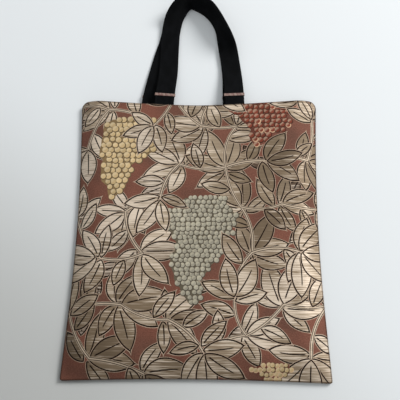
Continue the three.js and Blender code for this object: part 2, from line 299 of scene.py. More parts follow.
# A leaf's form: how much of it is body, how the body swells and narrows, how wide the tip is, and the shares
# of its length that keep its slope finite
LEAF_BODY = 0.94
LEAF_RISE = 0.8
LEAF_FALL = 0.88
LEAF_TIP = 2.0
LEAF_WITHIN = (0.0005, 0.9995)
LEAF_PEAK = LEAF_RISE / (LEAF_RISE + LEAF_FALL)
LEAF_FULL = 1 / (LEAF_PEAK**LEAF_RISE * (1 - LEAF_PEAK) ** LEAF_FALL)

# Lines drawn on a leaf, in millimetres from its edge, and the part of its length that has a midrib
PALE_LINE = (0.4, 0.75)
DARK_LINE = (0.6, 2.2)
RIB_WIDTH = 0.88
RIB_NARROWING = 0.42
RIB_SHARES = (0.13, 0.68)

# Lines on a stem and a berry, in shares of half its width
STEM_LINES = (0.36, 0.74)
BERRY_EDGE = (0.68, 0.88)

# Pitches of the weft and of the twill
WEFT_PITCH = 0.62
TWILL_PITCH = 0.9

# Zones of painted light and painted shade on the cloth, which lift or lower its colour: x, y and reach in
# metres, and strength
PAINTED_LIGHT_ZONES = ((0.095, 0.055, 0.13, 1.2), (-0.09, 0.21, 0.16, 1.6), (0.12, 0.15, 0.07, 0.5))
PAINTED_SHADE_ZONES = ((-0.15, 0.01, 0.17, 0.8), (0.08, 0.23, 0.17, 0.8))


def brocade_finish():
    """Brown twill with leaves, stems and berries in shiny weft, with painted highlights, painted light and
    shade in zones and a painted dark shade line at the folds. Each leaf's lines come from its own place.
    """
    finish = Finish("brocade")
    x, y = finish.on_cloth()
    along, across, seed = finish.parts(finish.attribute("motif_place"))
    wide, bend, size = finish.parts(finish.attribute("motif_form"))
    leaf, stem, berry = finish.parts(finish.attribute("motif_kind"))
    tint = finish.attribute("motif_tint", out="Color")

    wander = (finish.noise((x, y), 900, 1) - 0.5) * 0.5
    share = along.held(*LEAF_WITHIN)
    part = (share * (1 / LEAF_BODY)).held(*LEAF_WITHIN)
    body = wide * LEAF_FULL * part**LEAF_RISE * (1 - part) ** LEAF_FALL
    lean = body * (LEAF_RISE / part - LEAF_FALL / (1 - part)) * (1 / LEAF_BODY)
    tip = wide * LEAF_TIP * (1 - share) * share**6
    off_rib = abs(across - bend * share * share)
    inside = (body - off_rib) * size / (1 + lean * lean) ** 0.5
    inside = inside.most((tip - off_rib) * size) + wander
    pale_line = leaf * (1 - inside.rise(*PALE_LINE))
    dark_line = leaf * inside.over(*DARK_LINE, 0.2)
    off_rib_line = off_rib * size + wander * 0.6 - (RIB_WIDTH - share * RIB_NARROWING)
    rib = leaf * (1 - off_rib_line.rise(-0.15, 0.15)) * share.over(*RIB_SHARES, 0.03)

    stem_dark = stem * abs(across).over(*STEM_LINES, 0.05)
    stem_pale = stem * (1 - stem_dark)
    radius = (along * along + across * across) ** 0.5
    to_light = across * 0.75 - along * 0.66
    crescent = berry * (radius - to_light * 0.2).rise(*BERRY_EDGE)
    berry_pale = berry * to_light.rise(-0.1, 0.5) * (1 - crescent)

    def streaks(per_x, per_y, shift):
        """Noise drawn out along the weft, so many times a metre, and shifted from leaf to leaf."""
        return finish.noise((x * per_x, y * per_y + seed * shift), 1.0, 1)

    def zones(table):
        """1 times its strength in the middle of each zone, and 0 beyond its reach."""
        total = 0.0
        for across_m, up_m, reach, strength in table:
            away = ((x - across_m) * (x - across_m) + (y - up_m) * (y - up_m)) ** 0.5
            total = (1 - away.rise(0.0, reach)) * strength + total
        return total

    gleam = streaks(15, 950, 0.3).rise(0.3, 0.7) * 0.55 + streaks(50, 1500, 0).rise(0.3, 0.7) * 0.45
    region = streaks(20, 34, 0.2)
    threads = finish.ridges(y, WEFT_PITCH)
    # Painted light and painted shade: the zones lift or lower the weft's colour, and the light zones also
    # bring on its painted highlights
    painted_light, painted_shade = zones(PAINTED_LIGHT_ZONES), zones(PAINTED_SHADE_ZONES)
    level = gleam * 0.2 + threads * 0.06 + region.rise(0.3, 0.7) * 0.18 + (painted_light - painted_shade) * 0.14 + 0.61
    # Painted highlights: where the streaks of gleam, the patches and the painted light add up, the weft's
    # colour turns almost white
    shine = (gleam + region * 1.3 + painted_light * 0.24 - painted_shade * 0.3).rise(1.1, 1.5) * (1 - berry)
    weft = finish.mix(shine * 0.7, finish.tinted(tint, level), paint(248, 230, 209))

    twill = finish.ridges(x + y, TWILL_PITCH)
    patch = finish.noise((x, y), 22, 2)
    fleck = finish.noise((x, y), 700, 2)
    ground = finish.mix(patch.rise(0.35, 0.68), paint(126, 80, 65), paint(108, 73, 60))
    ground = finish.tinted(ground, twill * 0.14 + fleck.rise(0.25, 0.75) * 0.42 + 0.7)

    motif = (leaf + stem + berry).held()
    dark = (dark_line + rib + stem_dark).held()
    berry_line = finish.mix(bend, paint(50, 36, 24), paint(222, 184, 148))
    # Painted shade: a dark line where the cloth turns over at the seams and the rim, from the distance beyond
    # the start of its turn
    turned = finish.attribute("turned", out="Fac").over(-0.5, 2.4, 0.35)
    colour = ground
    for share, layer in (
        (motif, weft),
        (stem_pale * 0.8, paint(208, 188, 164)),
        (pale_line * 0.8, paint(198, 172, 148)),
        (berry_pale * 0.26, paint(240, 226, 194)),
        (dark, paint(26, 9, 2)),
        (crescent * 0.85, berry_line),
        (turned * 0.6, paint(52, 36, 27)),
    ):
        colour = finish.mix(share, colour, layer)

    drawn = (dark + pale_line + crescent).held()
    plain = motif * (1 - drawn)
    height = twill * (1 - motif) * 0.35 + motif * (0.7 + threads * 0.4 + gleam * 0.3) - drawn * 0.35
    rough = 0.76 - plain * (0.14 + shine * 0.2)
    return finish.dress(colour, rough, height, 0.12, metal=plain * 0.2, sheen=0.04, specular=0.12)


def strap_finish():
    """Black woven strap with fine ribs across it and a sewn line near each edge."""
    finish = Finish("strap")
    across, along = finish.on_cloth()
    ribs = finish.ridges(along, 0.85)
    yarns = finish.ridges(across, 0.7, finish.ridges(along, 1.7) * 0.5)
    from_edge = STRAP_WIDTH / 2 * MM - abs(across)
    sewn = from_edge.over(1.8 * MM, 2.3 * MM, 0.1 * MM)
    stitch = sewn * finish.ridges(along, 2.6).rise(0.2, 0.4)
    worn = finish.noise((across * 2, along), 60, 3)
    colour = finish.mix(worn.rise(0.35, 0.7), paint(7, 8, 9), paint(13, 14, 16))
    colour = finish.mix(stitch * 0.6, colour, paint(26, 27, 30))
    height = ribs * 0.6 + yarns * 0.4 - sewn * 0.8 + stitch * 1.1
    return finish.dress(colour, 0.86 - ribs * 0.1, height, 0.12, specular=0.06)


def band_finish():
    """A strip of the bag's own cloth, pinkish brown with paler threads."""
    finish = Finish("band")
    across, along = finish.on_cloth()
    patch = finish.noise((across, along * 2), 170, 2)
    ribs = finish.ridges(along, 0.8)
    colour = finish.mix(patch.rise(0.38, 0.62), paint(118, 80, 72), paint(152, 127, 115))
    colour = finish.tinted(colour, ribs * 0.3 + 0.78)
    return finish.dress(colour, 0.6 - patch * 0.1, ribs, 0.1, metal=0.08, sheen=0.1)


def lining_finish():
    """Plain dark brown lining with a fine even weave."""
    finish = Finish("lining")
    x, y = finish.on_cloth()
    warp = finish.ridges(x, 0.55)
    weft = finish.ridges(y, 0.6)
    creased = finish.noise((x, y), 30, 3)
    colour = finish.mix(creased.rise(0.3, 0.7), paint(84, 52, 42), paint(104, 68, 54))
    colour = finish.tinted(colour, warp * weft * 0.25 + 0.85)
    return finish.dress(colour, 0.6 + creased * 0.15, warp + weft, 0.06, sheen=0.15)


def felt_finish():
    """Soft cream interlining."""
    finish = Finish("interlining")
    place = finish.parts(finish.node("ShaderNodeTexCoord", out="Object"))
    fluff = finish.noise(place, 700, 4, 0.7)
    cloud = finish.noise(place, 60, 2)
    colour = finish.mix(cloud.rise(0.3, 0.7), paint(226, 220, 208), paint(238, 234, 224))
    return finish.dress(colour, 0.9 + fluff * 0.08, fluff, 0.2, sheen=0.2)


# The bag's plan and its front face


def half_width(y):
    share = y / HEIGHT
    return HALF - TOP_NARROWING * share - WAIST * np.sin(np.pi * share)


def rim_height(nominal):
    """The rim's y, from an x on a bag of full width all the way up."""
    share = np.abs(nominal) / HALF
    past = np.clip(np.abs(nominal) - (HALF - TOP_CORNER), 0, TOP_CORNER)
    corner = TOP_CORNER - np.sqrt(TOP_CORNER**2 - past**2)
    return HEIGHT - RIM_SAG * (1 - share**RIM_CURVE) - corner


def bottom_height(x):
    return BOTTOM_BOW * (1 - np.clip(np.abs(x) / (HALF - BOTTOM_CORNER), 0, 1) ** 2)


def ease(distance, run=EDGE_RUN):
    return np.sin(np.pi / 2 * np.clip(distance / run, 0, 1))


def smooth_height(x, y):
    """The front face above the floor, without the cloth's own puckers."""
    y_in = np.clip(y, 0, HEIGHT)
    half = half_width(y_in)
    fullness = ease(half - np.abs(x)) * ease(y_in - bottom_height(x))
    along = np.sin(np.pi * np.clip(y_in / CROWN_TOP, 0, 1))
    across = np.cos(np.pi / 2 * np.clip(x / half, -1, 1))
    return EDGE_FACE + (FRONT_FACE - EDGE_FACE + CROWN * along * across) * fullness


def spots_of(mesh):
    """The places of a mesh's vertices."""
    return np.array([tuple(v.co) for v in mesh.vertices])


def corners_of(mesh):
    """The vertex at each of a mesh's corners."""
    return np.array([loop.vertex_index for loop in mesh.loops])


def blurred(grid, times):
    for _ in range(times):
        wide = np.pad(grid, 1, mode="edge")
        grid = (wide[:-2, 1:-1] + wide[2:, 1:-1] + wide[1:-1, :-2] + wide[1:-1, 2:] + 4 * grid) / 8
    return grid


def puckers():
    """Small heights that the front's cloth takes up over its padding, on an even grid of shares.

    A sheet a little larger than the front is sewn down round its border, and air presses it up. Only what
    is finer than the bag's own form is kept, and no more than PUCKER_CAP of it.
    """
    size = (PUCKER_ROWS, PUCKER_COLUMNS)
    bpy.ops.mesh.primitive_grid_add(
        x_subdivisions=PUCKER_COLUMNS - 1, y_subdivisions=PUCKER_ROWS - 1, size=2
    )
    sheet = bpy.context.object
    shares = spots_of(sheet.data)
    across, up = shares[:, 0], (shares[:, 1] + 1) / 2
    low, top = bottom_height(across * HALF), rim_height(across * HALF)
    y = low + (top - low) * up
    x = across * half_width(y)
    dice = random.Random(3)
    z = smooth_height(x, y) + np.array([dice.uniform(-PUCKER_JITTER, PUCKER_JITTER) for _ in x])
    sheet.data.vertices.foreach_set("co", (np.column_stack([x, y, z]) * MM).ravel())
    sewn = sheet.vertex_groups.new(name="sewn")
    border = (np.abs(across) > 0.999) | (up < 0.001) | (up > 0.999)
    sewn.add([int(k) for k in np.flatnonzero(border)], 1.0, "ADD")
    cloth = sheet.modifiers.new("Cloth", "CLOTH")
    for name, value in (
        ("quality", 5), ("vertex_group_mass", "sewn"), ("bending_stiffness", 2), ("use_pressure", True),
        ("uniform_pressure_force", 1), ("shrink_min", -PUCKER_EASE),
    ):
        setattr(cloth.settings, name, value)
    cloth.settings.effector_weights.gravity = 0
    cloth.collision_settings.use_collision = False
    cloth.point_cache.frame_start, cloth.point_cache.frame_end = 1, PUCKER_FRAMES
    for moment in range(1, PUCKER_FRAMES + 1):
        bpy.context.scene.frame_set(moment)
    settled = sheet.evaluated_get(bpy.context.evaluated_depsgraph_get()).data
    lift = (spots_of(settled)[:, 2] / MM - z).reshape(size)
    bpy.context.scene.frame_set(1)
    bpy.data.objects.remove(sheet)
    fine = blurred(lift, 2) - blurred(lift, 60)
    return np.clip(fine * PUCKER_SHARE, -PUCKER_CAP, PUCKER_CAP)


PUCKERS = puckers()


def front_height(x, y):
    """The front face above the floor."""
    y_in = np.clip(y, 0, HEIGHT)
    half = half_width(y_in)
    top = rim_height(np.clip(x / half, -1, 1) * HALF)
    bottom = bottom_height(x)
    across = np.clip((x / half + 1) / 2, 0, 1) * (PUCKER_COLUMNS - 1)
    up = np.clip((y_in - bottom) / (top - bottom), 0, 1) * (PUCKER_ROWS - 1)
    c = np.minimum(across.astype(int), PUCKER_COLUMNS - 2)
    r = np.minimum(up.astype(int), PUCKER_ROWS - 2)
    s, t = across - c, up - r
    low = PUCKERS[r, c] * (1 - s) + PUCKERS[r, c + 1] * s
    high = PUCKERS[r + 1, c] * (1 - s) + PUCKERS[r + 1, c + 1] * s
    free = ease(half - np.abs(x), SEAM_RUN) * ease(y_in - bottom, SEAM_RUN) * ease(top - y_in, RIM_RUN)
    return smooth_height(x, y) + (low * (1 - t) + high * t) * free


def resampled(points, step, closed=True):
    """Points at even steps along a line."""
    line = np.array(points, float)
    if closed:
        line = np.vstack([line, line[:1]])
    lengths = np.hypot(*np.diff(line, axis=0).T)
    reach = np.concatenate([[0], np.cumsum(lengths)])
    count = max(3, int(round(reach[-1] / step)))
    places = np.linspace(0, reach[-1], count + (0 if closed else 1), endpoint=not closed)
    return np.column_stack([np.interp(places, reach, line[:, k]) for k in (0, 1)])


def outline():
    """The bag's edge, anticlockwise from the left end of its bottom edge."""
    corner, half, top = BOTTOM_CORNER, half_width(0.0), rim_height(HALF)
    turns = [math.pi / 2 * k / CORNER_POINTS for k in range(1, CORNER_POINTS)]
    points = [(x, bottom_height(x)) for x in np.linspace(corner - half, half - corner, SIDE_POINTS)]
    points += [(half - corner * (1 - math.sin(t)), corner * (1 - math.cos(t))) for t in turns]
    points += [(half_width(y), y) for y in np.linspace(corner, top, SIDE_POINTS)]
    for k in range(1, RIM_POINTS):
        nominal = HALF * math.cos(math.pi * k / RIM_POINTS)
        y = rim_height(nominal)
        points.append((nominal * half_width(y) / HALF, y))
    points += [(-half_width(y), y) for y in np.linspace(top, corner, SIDE_POINTS)]
    points += [(-half + corner * (1 - math.cos(t)), corner * (1 - math.sin(t))) for t in turns]
    return resampled(points, EDGE_STEP)


def leftward(run):
    """The unit directions to the left of runs along a line."""
    run = run / np.linalg.norm(run, axis=1)[:, None]
    return np.column_stack([-run[:, 1], run[:, 0]])


class Turning:
    """Where the cloth leaves the flat of a panel, and how it turns over there."""

    def __init__(self):
        edge = outline()
        self.normal = -leftward(np.roll(edge, -1, axis=0) - np.roll(edge, 1, axis=0))
        on_rim = (self.normal[:, 1] > 0.8) & (edge[:, 1] > HEIGHT / 2)
        reach = np.where(on_rim, HALF - RIM_INSET - np.abs(edge[:, 0]), 0)
        rim_share = smooth(reach / RIM_BLEND)
        self.first = SEAM_TURN + (RIM_TURN - SEAM_TURN) * rim_share
        self.second = SEAM_TUCK + (RIM_TURN - SEAM_TUCK) * rim_share
        self.tail = SEAM_TAIL + (HEM - SEAM_TAIL) * rim_share
        self.turned = np.pi / 2 * (self.first + self.second)
        self.start = edge - self.normal * self.first[:, None]

    def ring(self, rows):
        """A line at given distances beyond the start of the turn, one for all points or one for each."""
        return self.start + self.normal * np.reshape(rows, (-1, 1))

    def nearest(self, points):
        """For each point: the place on the start line, the outward direction, the distance and both radii."""
        first, second = self.start, np.roll(self.start, -1, axis=0)
        run = second - first
        long = (run**2).sum(1)
        best = np.full(len(points), np.inf)
        index = np.zeros(len(points), int)
        share = np.zeros(len(points))
        for k in range(len(first)):
            t = np.clip(((points - first[k]) @ run[k]) / long[k], 0, 1)
            away = ((points - first[k] - t[:, None] * run[k]) ** 2).sum(1)
            closer = away < best
            best[closer], index[closer], share[closer] = away[closer], k, t[closer]
        after = (index + 1) % len(first)

        def between(values):
            weight = share if values.ndim == 1 else share[:, None]
            return values[index] * (1 - weight) + values[after] * weight

        place, normal = between(self.start), between(self.normal)
        away = points - place
        distance = np.sqrt(best)[:, None]
        least = 1e-6
        direction = np.where(distance > least, away / np.maximum(distance, least), normal)
        sign = np.where((away * normal).sum(1) > 0, 1, -1)
        return place, direction, sign * distance[:, 0], between(self.first), between(self.second)


def turned_over(turning, points, height, side):
    """The cloth's points in space, and how far each is beyond the start of the turn.

    Height gives the flat's height, and side is 1 for the front and -1 for the back.
    """
    place, direction, beyond, first, second = turning.nearest(points)
    flat = beyond <= 0
    spot = np.where(flat[:, None], points, place)
    turn_one = np.clip(beyond / first, 0, np.pi / 2)
    left = np.maximum(beyond - first * np.pi / 2, 0)
    turn_two = np.clip(left / second, 0, np.pi / 2)
    tail = np.maximum(left - second * np.pi / 2, 0)
    out = first * np.sin(turn_one) - second * (1 - np.cos(turn_two)) - tail
    drop = first * (1 - np.cos(turn_one)) + second * np.sin(turn_two)
    moved = spot + direction * np.where(flat, 0, out)[:, None]
    level = np.where(tail > 0, height(moved[:, 0], moved[:, 1]), height(spot[:, 0], spot[:, 1]))
    return np.column_stack([moved, level - side * np.where(flat, 0, drop)]), beyond


# The woven pattern

PALE = paint(182, 161, 135)
BEIGE = paint(163, 142, 117)
DUSK = paint(151, 130, 105)
MIST = paint(137, 117, 94)
SHADOW = paint(104, 84, 68)
GOLD = paint(206, 178, 132)
GOLD_BED = paint(138, 112, 76)
RUST = paint(140, 68, 50)
RUST_BED = paint(112, 58, 45)
SAGE = paint(176, 169, 150)
SAGE_BED = paint(108, 98, 80)

# A motif's outline, its own place and turn, its size, its form and kind for the shader, and its colour
Shape = namedtuple("Shape", "ring spot turn size form kind tint")
LEAF, STEM, BERRY = (1, 0, 0), (0, 1, 0), (0, 0, 1)
BARE = Shape(None, (0, 0), 0.0, 1, (0, 0, 1), (0, 0, 0), (0.2, 0.1, 0.08))
LEAF_SHARES = (0, 0.025, 0.07, 0.13, 0.2, 0.29, 0.39, 0.5, 0.6, 0.69, 0.77, 0.83, 0.87, 0.9, 0.94, 1)

# How full a bunch of berries is at shares of its height, from its tip up
BUNCH_FORM = ((0, 0.12, 0.35, 0.6, 0.82, 1), (0.1, 0.3, 0.56, 0.86, 1, 0.66))


def leaf_half(share):
    """A leaf's half width at a share of its length: a full body and a short drawn-out tip."""
    part = min(1, share / LEAF_BODY)
    body = LEAF_FULL * part**LEAF_RISE * (1 - part) ** LEAF_FALL
    return max(body, LEAF_TIP * (1 - share) * share**6)


class Pattern:
    """Motifs in the order that they cover each other."""

    def __init__(self, seed):
        self.dice = random.Random(seed)
        self.shapes = []

    def add(self, *values):
        self.shapes.append(Shape(*values))

    def leaf(self, x, y, turn, size, wide, bend, tint):
        across = np.array([-math.sin(turn), math.cos(turn)])
        along = np.array([math.cos(turn), math.sin(turn)])
        halves = [(share, wide * leaf_half(share)) for share in LEAF_SHARES]
        ring = [
            np.array([x, y]) + along * size * share + across * (bend * share**2 + side * half)
            for side, run in ((-1, halves), (1, halves[-2:0:-1]))
            for share, half in run
        ]
        self.add(np.array(ring), (x, y), turn, size, (wide / size, bend / size, size), LEAF, tint)

    def stem(self, points, thick, tint):
        line = resampled(points, 5, closed=False)
        side = leftward(np.gradient(line, axis=0)) * thick / 2
        right, left = line - side, line + side
        for k in range(len(line) - 1):
            ring = np.array([right[k], right[k + 1], left[k + 1], left[k]])
            step = line[k + 1] - line[k]
            turn = math.atan2(step[1], step[0])
            self.add(ring, tuple(line[k]), turn, thick / 2, (0, 0, thick / 2), STEM, tint)

    def berry(self, x, y, size, tint, pale_edge):
        turns = np.arange(11) * 2 * np.pi / 11 + self.dice.random()
        ring = np.array([x, y]) + np.column_stack([np.cos(turns), np.sin(turns)]) * size / 2
        self.add(ring, (x, y), 0.0, size / 2, (0, pale_edge, size / 2), BERRY, tint)

    def bed(self, ring, tint):
        """A plain patch under a bunch of berries, so large in its own measure that it has no edge."""
        self.add(np.array(ring), (0, 0), 0.0, 1e6, (0, 0, 1e6), BERRY, tint)

    def varied(self, tint, spread):
        much = 1 + self.dice.uniform(-spread, spread)
        return tuple(min(1, c * much) for c in tint)

    def grown(self, spot, angle, size):
        """One leaf that bends a little and whose middle points about along the angle."""
        wide = size * self.dice.uniform(0.2, 0.25)
        bend = size * self.dice.uniform(0.06, 0.22) * self.dice.choice((-1, 1))
        tint = self.dice.choices((PALE, BEIGE, DUSK, MIST), (2, 5, 5, 2))[0]
        turn = angle - math.atan(bend / size) * 0.7
        self.leaf(*spot, turn, size, wide, bend, self.varied(tint, 0.07))

    def fan(self, spot, heading, leaves, size):
        """Leaves spread on one side of a twig's end, each a little further back the more it turns aside."""
        step = math.radians(self.dice.uniform(40, 47))
        ahead = np.array([math.cos(heading), math.sin(heading)])
        middle = (leaves - 1) / 2
        for k in sorted(range(leaves), key=lambda k: -abs(k - middle)):
            off = (k - middle) * step + self.dice.uniform(-0.14, 0.14)
            long = size * (0.74 + 0.32 * math.cos(off * 0.75)) * self.dice.uniform(0.86, 1.12)
            back = ahead * -abs(off) * self.dice.uniform(1.5, 5.5)
            self.grown(spot + back, heading + off, long)

    def cluster(self, x, y, wide, high, lean, size, tint, bed_tint, pale_share):
        """Berries packed in a bunch that narrows downwards."""
        step = size * 0.9
        rows = int(high / (step * 0.87)) + 1
        spots, left, right = [], [], []
        lobe = self.dice.uniform(0, 6)
        for r in range(rows):
            share = r / max(1, rows - 1)
            fill = np.interp(share, *BUNCH_FORM) * (1 + 0.12 * math.sin(lobe + share * 17))
            count = max(1, int(round(wide * fill / step)))
            drift = x + lean * (share - 0.5) * high + wide * 0.06 * math.sin(lobe * 2 + share * 11)
            drift += self.dice.uniform(-0.3, 0.3) * step
            level = y + (share - 0.5) * high
            for c in range(count):
                spots.append((drift + (c - (count - 1) / 2) * step + (step / 2 if r % 2 else 0), level))
            left.append((drift - count / 2 * step, level))
            right.append((drift + count / 2 * step, level))
        self.bed(left[::-1] + right, bed_tint)
        self.dice.shuffle(spots)
        for spot in spots:
            at = [place + self.dice.uniform(-0.12, 0.12) * size for place in spot]
            scale = self.dice.uniform(0.92, 1.16)
            shade = self.varied(tint, 0.16)
            self.berry(*at, size * scale, shade, 1 if self.dice.random() < pale_share else 0)


def branches(spots):
    """Pairs of spots that one growing tree of stems joins."""
    joined, pairs = [0], []
    left = list(range(1, len(spots)))
    while left:
        _, start, end = min((math.dist(spots[a], spots[b]), a, b) for a in joined for b in left)
        pairs.append((start, end))
        joined.append(end)
        left.remove(end)
    return pairs


# Twig ends: x, y, the number of leaves and their size. Bunches: x, y, width, height, lean, and the berries
FRONT_WHORLS = [
    (-116, 24, 5, 56), (-56, 8, 5, 50), (10, 30, 6, 55), (56, 50, 4, 46), (126, 26, 5, 56),
    (-145, 74, 4, 46), (-84, 82, 6, 54), (-30, 66, 5, 48), (44, 92, 4, 50), (98, 84, 6, 54),
    (150, 84, 4, 46), (-116, 136, 5, 50), (-62, 140, 5, 52), (64, 142, 4, 50), (122, 142, 6, 54),
    (-144, 186, 4, 44), (-84, 190, 5, 48), (-44, 204, 4, 46), (52, 196, 5, 52), (100, 200, 5, 48),
    (148, 196, 4, 46), (-22, 250, 5, 50), (34, 246, 6, 54), (84, 254, 4, 48), (134, 256, 5, 52),
    (-136, 270, 4, 46), (-56, 300, 4, 44), (4, 300, 5, 52), (48, 300, 4, 44), (142, 312, 4, 42),
    (-112, 322, 5, 46), (-30, 340, 4, 46), (26, 344, 4, 44), (112, 346, 4, 40), (-148, 330, 4, 36),
]
BACK_WHORLS = [(-x, 337 - y, leaves, size) for x, y, leaves, size in FRONT_WHORLS]
GOLDEN = (8.2, GOLD, GOLD_BED, 0)
RUSTY = (7.4, RUST, RUST_BED, 0.14)
GREEN = (6.6, SAGE, SAGE_BED, 0)
FRONT_BUNCHES = [
    (-92, 258, 70, 100, 0.25, *GOLDEN), (84, 310, 88, 68, 0.2, *RUSTY),
    (0, 146, 82, 122, 0.15, *GREEN), (84, 9, 44, 20, 0.0, 5.4, GOLD, RUST_BED, 0.5),
]
BACK_BUNCHES = [
    (88, 98, 60, 96, -0.2, *GOLDEN), (-92, 70, 58, 64, 0.1, *RUSTY),
    (-30, 214, 64, 110, -0.12, *GREEN), (104, 280, 44, 56, 0.1, *GOLDEN),
]


def leafy_pattern(seed, whorls, bunches):
    """Dim leaves at the back, then two thirds of the fans, stems, bunches, and the last fans over them."""
    pattern = Pattern(seed)
    dice = pattern.dice
    for x, y, leaves, size in whorls[::2]:
        angle = dice.uniform(0, 2 * math.pi)
        at = (x + 26 * math.cos(angle), y + 26 * math.sin(angle))
        turn = angle + dice.uniform(-0.8, 0.8)
        pattern.leaf(*at, turn, size * 0.8, size * 0.17, 4, pattern.varied(SHADOW, 0.12))
    spots = [np.array((x, y), float) for x, y, *_ in whorls]
    headings = {0: 0.6}
    stems, side_leaves = [], []
    for a, b in branches(spots):
        start, end = spots[a], spots[b]
        run = end - start
        sideways = np.array([-run[1], run[0]]) * dice.uniform(0.1, 0.24) * dice.choice((-1, 1))
        middle = (start + end) / 2 + sideways
        shares = np.linspace(0, 1, 14)
        line = [start * (1 - t) ** 2 + middle * 2 * t * (1 - t) + end * t**2 for t in shares]
        stems.append((line, dice.uniform(3.6, 4.6)))
        headings[b] = math.atan2(*(end - middle)[::-1])
        side = dice.choice((-1, 1))
        place = dice.randrange(4, 10)
        heading = math.atan2(*(line[place + 1] - line[place])[::-1])
        side_leaves.append((line[place], heading + side * dice.uniform(0.8, 1.25), dice.uniform(34, 46)))

    def fans(chosen):
        for k, (x, y, leaves, size) in enumerate(whorls):
            if k % 3 in chosen:
                pattern.fan(spots[k], headings[k], leaves, size)

    fans((0, 1))
    for leaf in side_leaves[1::2]:
        pattern.grown(*leaf)
    for line, thick in stems:
        pattern.stem(line, thick, MIST)
    for bunch in bunches:
        pattern.cluster(*bunch)
    for leaf in side_leaves[::2]:
        pattern.grown(*leaf)
    fans((2,))
    return pattern


# Making pieces


def in_frame(points):
    return (np.asarray(points, float) + np.array([0, FOOT, 0])) * MM


def new_piece(name, vertices, faces, finish):
    mesh = bpy.data.meshes.new(name)
    mesh.from_pydata([tuple(v) for v in vertices], [], [tuple(f) for f in faces])
    mesh.materials.append(finish)
    mesh.update()
    mesh.shade_smooth()
    return placed(name, mesh)


def put_on(mesh, name, values):
    """Vectors or colours at the corners, such as a motif's place."""
    kind, field = ("FLOAT_COLOR", "color") if values.shape[-1] == 4 else ("FLOAT_VECTOR", "vector")
    made = mesh.attributes.new(name, kind, "CORNER")
    made.data.foreach_set(field, np.asarray(values, np.float32).ravel())


def cloth_map(mesh, plan):
    """The piece's own map, from each corner's place on the flat cloth, in metres."""
    made = mesh.uv_layers.new(name="cloth")
    made.data.foreach_set("uv", np.asarray(plan, np.float32).ravel())


def select_only(piece):
    for other in bpy.context.selected_objects:
        other.select_set(False)
    piece.select_set(True)
    bpy.context.view_layer.objects.active = piece


def applied(piece, kind, **settings):
    """Adds a modifier and applies it."""
    select_only(piece)
    modifier = piece.modifiers.new(kind.title(), kind)
    for name, value in settings.items():
        setattr(modifier, name, value)
    bpy.ops.object.modifier_apply(modifier=modifier.name)
    piece.select_set(False)


def facing_out(piece):
    """Turns all faces outwards."""
    select_only(piece)
    bpy.ops.object.mode_set(mode="EDIT")
    bpy.ops.mesh.select_all(action="SELECT")
    bpy.ops.mesh.normals_make_consistent()
    bpy.ops.object.mode_set(mode="OBJECT")
    piece.select_set(False)


def inside_ring(ring, points):
    """Which points lie within a closed ring."""
    x, y = points[:, 0], points[:, 1]
    found = np.zeros(len(points), bool)
    before = ring[-1]
    for after in ring:
        if after[1] != before[1]:
            crosses = (after[1] > y) != (before[1] > y)
            at = (before[0] - after[0]) * (y - after[1]) / (before[1] - after[1]) + after[0]
            found ^= crosses & (x < at)
        before = after
    return found


def flat_faces(turning, shapes):
    """Points and triangles of a flat panel. They follow its turns and the outlines of its motifs."""
    border = turning.ring(turning.turned + turning.tail)
    rings = [border]
    rings += [turning.ring(turning.first * np.pi / 2 * share) for share in (0, 0.25, 0.5, 0.75, 1)]
    rings += [turning.ring(np.pi / 2 * (turning.first + turning.second * share)) for share in (0.5, 1)]
    rings += [turning.ring(-inset) for inset in (1.5, 4.0)]
    rings += [shape.ring for shape in shapes if inside_ring(border, shape.ring).any()]
    points, edges = [], []
    for ring in rings:
        start, count = len(points), len(ring)
        points.extend(ring)
        edges.extend((start + k, start + (k + 1) % count) for k in range(count))
    grid = np.array([
        (-HALF + GRID_STEP * (i + 0.5 * (j % 2)), ROW_STEP * j)
        for j in range(int(HEIGHT / ROW_STEP) + 1)
        for i in range(int(WIDTH / GRID_STEP) + 1)
    ])
    points.extend(grid[inside_ring(turning.ring(-GRID_INSET), grid)])
    flat, _, faces, *_ = delaunay_2d_cdt([Vector(p) for p in points], edges, [], 1, 1e-4, False)
    flat, faces = np.array([tuple(v) for v in flat]), np.array(faces)
    return flat, faces[inside_ring(border, flat[faces].mean(1))]


def woven_panel(name, pattern, height, side, finish):
    """One panel of brocade, with its turned edges. Each corner carries its place in its face's motif."""
    turning = Turning()
    flat, faces = flat_faces(turning, pattern.shapes)
    centres = flat[faces].mean(1)
    owner = np.full(len(faces), -1)
    for k, shape in enumerate(pattern.shapes):
        near = np.flatnonzero(((centres > shape.ring.min(0)) & (centres < shape.ring.max(0))).all(1))
        owner[near[inside_ring(shape.ring, centres[near])]] = k

    spots, turns, sizes, forms, kinds, tints = (
        np.array(values, float)[owner] for values in list(zip(*pattern.shapes, BARE))[1:]
    )
    away = flat[faces] - spots[:, None, :]
    cos, sin = np.cos(turns)[:, None], np.sin(turns)[:, None]
    along = (away[..., 0] * cos + away[..., 1] * sin) / sizes[:, None]
    across = (away[..., 1] * cos - away[..., 0] * sin) / sizes[:, None]
    seeds = np.broadcast_to(((owner * 0.618) % 1 * 10)[:, None], along.shape)
    places = np.stack([along, across, seeds], -1)

    used, corners = np.unique(faces, return_inverse=True)
    corners = corners.reshape(faces.shape)
    plan = flat[used]
    solid, beyond = turned_over(turning, plan, height, side)
    if side < 0:
        corners = corners[:, ::-1]
        places = places[:, ::-1]
    piece = new_piece(name, in_frame(solid), corners, finish)
    mesh = piece.data
    cloth_map(mesh, plan[corners.ravel()] * MM)
    mesh.attributes.new("turned", "FLOAT", "POINT").data.foreach_set("value", beyond.astype(np.float32))
    put_on(mesh, "motif_place", places)
    for part, values in (("form", forms), ("kind", kinds), ("tint", np.insert(tints, 3, 1, axis=1))):
        put_on(mesh, f"motif_{part}", np.repeat(values, 3, axis=0))
    applied(piece, "SOLIDIFY", thickness=CLOTH * MM, offset=-1)


